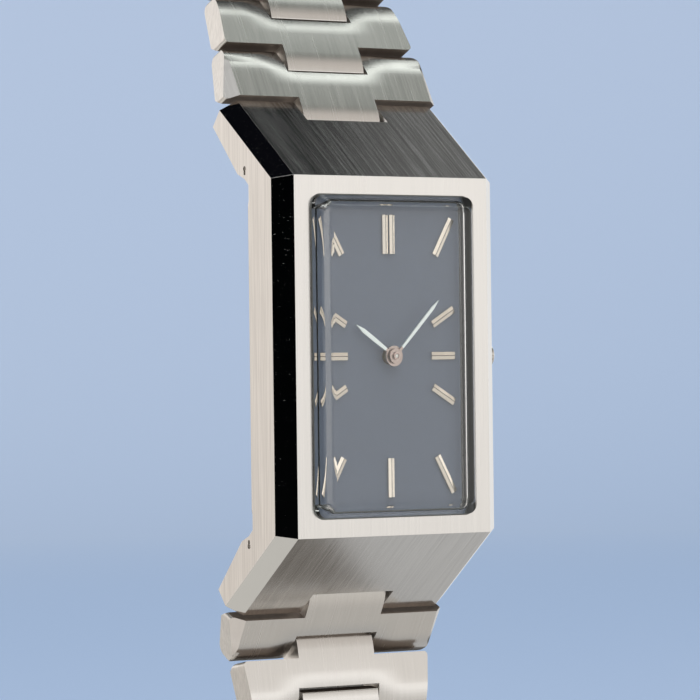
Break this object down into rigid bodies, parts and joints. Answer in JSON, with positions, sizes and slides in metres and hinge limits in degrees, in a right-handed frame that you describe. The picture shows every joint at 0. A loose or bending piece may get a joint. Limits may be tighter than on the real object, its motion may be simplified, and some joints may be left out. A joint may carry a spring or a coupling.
{
  "type": "rectangular wristwatch",
  "caption": "Long rectangular steel wristwatch with sloped ends, slate dial, baton hands, crown and a tapering bracelet of T-shaped links with a hook clasp.",
  "frame": {"origin": "centre of the case back's rear face", "axes": "+X towards 3 o'clock, +Y from the dial towards the wrist, +Z towards 12 o'clock"},
  "size_m": [0.0236, 0.0668, 0.1084],
  "materials": {
    "polished_steel": "polished steel bevels and back",
    "brushed_steel": "fine satin brushing",
    "pin_steel": "drawn steel pin",
    "crystal": "clear",
    "gasket": "matt black",
    "dial": "slate blue-grey, fine vertical brushing",
    "applied_metal": "warm polished markers and hands",
    "movement_ring": "moulded spacer",
    "movement_plate": "nickel-plated",
    "movement_brass": "gilt"
  },
  "bodies": {
    "case": {"case_body": "brushed_steel", "case_back": "polished_steel", "case_back_gasket": "gasket", "crystal": "crystal", "crystal_gasket": "gasket", "dial": "dial", "hour_markers": "applied_metal", "movement_ring": "movement_ring", "main_plate": "movement_plate", "train_bridge": "movement_plate", "lug_pins": "pin_steel"},
    "minute": {"cannon_pinion": "applied_metal", "minute_hand": "applied_metal"},
    "hour": {"hour_wheel": "movement_brass", "hour_hand": "applied_metal"},
    "stem_pull": {"setting_lever": "pin_steel"},
    "crown": {"winding_stem": "pin_steel", "crown": "polished_steel"},
    "rotor": {"rotor": "movement_plate"},
    "barrel": {"barrel": "movement_brass"},
    "balance": {"balance_wheel": "movement_brass"},
    "upper_link_1": {"upper_link_1": "brushed_steel", "upper_pin_1": "pin_steel"},
    "upper_link_2": {"upper_link_2": "brushed_steel", "upper_pin_2": "pin_steel"},
    "upper_link_3": {"upper_link_3": "brushed_steel", "upper_pin_3": "pin_steel"},
    "upper_link_4": {"upper_link_4": "brushed_steel", "upper_pin_4": "pin_steel"},
    "upper_link_5": {"upper_link_5": "brushed_steel", "upper_pin_5": "pin_steel"},
    "upper_link_6": {"upper_link_6": "brushed_steel", "upper_pin_6": "pin_steel"},
    "upper_link_7": {"upper_link_7": "brushed_steel", "upper_pin_7": "pin_steel"},
    "upper_link_8": {"upper_link_8": "brushed_steel", "upper_pin_8": "pin_steel"},
    "upper_link_9": {"upper_link_9": "brushed_steel", "upper_pin_9": "pin_steel"},
    "lower_link_1": {"lower_link_1": "brushed_steel", "lower_pin_1": "pin_steel"},
    "lower_link_2": {"lower_link_2": "brushed_steel", "lower_pin_2": "pin_steel"},
    "lower_link_3": {"lower_link_3": "brushed_steel", "lower_pin_3": "pin_steel"},
    "lower_link_4": {"lower_link_4": "brushed_steel", "lower_pin_4": "pin_steel"},
    "lower_link_5": {"lower_link_5": "brushed_steel", "lower_pin_5": "pin_steel"},
    "lower_link_6": {"lower_link_6": "brushed_steel", "lower_pin_6": "pin_steel"},
    "lower_link_7": {"lower_link_7": "brushed_steel", "lower_pin_7": "pin_steel"},
    "clasp_frame": {"clasp_frame": "brushed_steel"},
    "clasp_cover": {"clasp_cover": "brushed_steel"},
    "clasp_hook": {"clasp_hook": "brushed_steel"}
  },
  "joints": [
    {"name": "minute_turn", "type": "hinge", "parent": "case", "child": "minute", "pos_m": [0, -0.0075, 0], "axis": [0, 1, 0], "continuous": true},
    {"name": "hour_turn", "type": "hinge", "parent": "case", "child": "hour", "pos_m": [0, -0.0075, 0], "axis": [0, 1, 0], "continuous": true},
    {"name": "stem_slide", "type": "slide", "parent": "case", "child": "stem_pull", "axis": [1, 0, 0], "range_m": [0, 0.0009]},
    {"name": "crown_turn", "type": "hinge", "parent": "stem_pull", "child": "crown", "pos_m": [0.0114, -0.005, 0], "axis": [1, 0, 0], "continuous": true},
    {"name": "rotor_spin", "type": "hinge", "parent": "case", "child": "rotor", "pos_m": [0, -0.0025, 0], "axis": [0, 1, 0], "continuous": true},
    {"name": "barrel_turn", "type": "hinge", "parent": "case", "child": "barrel", "pos_m": [-0.0037, -0.0039, 0.0026], "axis": [0, 1, 0], "continuous": true},
    {"name": "balance_swing", "type": "hinge", "parent": "case", "child": "balance", "pos_m": [0.0036, -0.0039, -0.0032], "axis": [0, 1, 0], "range_deg": [-150, 150]},
    {"name": "upper_link_1_hinge", "type": "hinge", "parent": "case", "child": "upper_link_1", "pos_m": [0, -0.0003, 0.0199], "axis": [1, 0, 0], "range_deg": [-4, 3]},
    {"name": "upper_link_2_hinge", "type": "hinge", "parent": "upper_link_1", "child": "upper_link_2", "pos_m": [0, 0.00192, 0.02445], "axis": [1, 0, 0], "range_deg": [-15, 16]},
    {"name": "upper_link_3_hinge", "type": "hinge", "parent": "upper_link_2", "child": "upper_link_3", "pos_m": [0, 0.00422, 0.02896], "axis": [1, 0, 0], "range_deg": [-13, 18]},
    {"name": "upper_link_4_hinge", "type": "hinge", "parent": "upper_link_3", "child": "upper_link_4", "pos_m": [0, 0.00675, 0.03334], "axis": [1, 0, 0], "range_deg": [-10, 21]},
    {"name": "upper_link_5_hinge", "type": "hinge", "parent": "upper_link_4", "child": "upper_link_5", "pos_m": [0, 0.00972, 0.03743], "axis": [1, 0, 0], "range_deg": [-8, 23]},
    {"name": "upper_link_6_hinge", "type": "hinge", "parent": "upper_link_5", "child": "upper_link_6", "pos_m": [0, 0.01323, 0.04107], "axis": [1, 0, 0], "range_deg": [-8, 23]},
    {"name": "upper_link_7_hinge", "type": "hinge", "parent": "upper_link_6", "child": "upper_link_7", "pos_m": [0, 0.01722, 0.04419], "axis": [1, 0, 0], "range_deg": [-8, 23]},
    {"name": "upper_link_8_hinge", "type": "hinge", "parent": "upper_link_7", "child": "upper_link_8", "pos_m": [0, 0.0216, 0.04672], "axis": [1, 0, 0], "range_deg": [-8, 23]},
    {"name": "upper_link_9_hinge", "type": "hinge", "parent": "upper_link_8", "child": "upper_link_9", "pos_m": [0, 0.0263, 0.04861], "axis": [1, 0, 0], "range_deg": [-8, 23]},
    {"name": "clasp_frame_hinge", "type": "hinge", "parent": "upper_link_9", "child": "clasp_frame", "pos_m": [0, 0.03121, 0.04984], "axis": [1, 0, 0], "range_deg": [-27, 19]},
    {"name": "lower_link_1_hinge", "type": "hinge", "parent": "case", "child": "lower_link_1", "pos_m": [0, -0.0003, -0.0199], "axis": [-1, 0, 0], "range_deg": [-5, 3]},
    {"name": "lower_link_2_hinge", "type": "hinge", "parent": "lower_link_1", "child": "lower_link_2", "pos_m": [0, 0.00168, -0.02378], "axis": [-1, 0, 0], "range_deg": [-57, 0]},
    {"name": "lower_link_3_hinge", "type": "hinge", "parent": "lower_link_2", "child": "lower_link_3", "pos_m": [0, 0.0008, -0.02877], "axis": [-1, 0, 0], "range_deg": [-2, 33]},
    {"name": "lower_link_4_hinge", "type": "hinge", "parent": "lower_link_3", "child": "lower_link_4", "pos_m": [0, 0.00151, -0.03378], "axis": [-1, 0, 0], "range_deg": [-6, 29]},
    {"name": "lower_link_5_hinge", "type": "hinge", "parent": "lower_link_4", "child": "lower_link_5", "pos_m": [0, 0.0034, -0.03847], "axis": [-1, 0, 0], "range_deg": [-8, 27]},
    {"name": "lower_link_6_hinge", "type": "hinge", "parent": "lower_link_5", "child": "lower_link_6", "pos_m": [0, 0.00623, -0.04267], "axis": [-1, 0, 0], "range_deg": [-8, 27]},
    {"name": "lower_link_7_hinge", "type": "hinge", "parent": "lower_link_6", "child": "lower_link_7", "pos_m": [0, 0.00987, -0.04618], "axis": [-1, 0, 0], "range_deg": [-8, 27]},
    {"name": "clasp_hook_hinge", "type": "hinge", "parent": "lower_link_7", "child": "clasp_hook", "pos_m": [0, 0.01416, -0.04886], "axis": [-1, 0, 0], "range_deg": [-14, 23]},
    {"name": "clasp_cover_hinge", "type": "hinge", "parent": "clasp_frame", "child": "clasp_cover", "pos_m": [0, 0.04342, 0.05199], "axis": [1, 0, 0], "range_deg": [0, 120]}
  ],
  "couplings": [
    {"joint": "hour_turn", "follows": "minute_turn", "ratio": 0.083333}
  ]
}
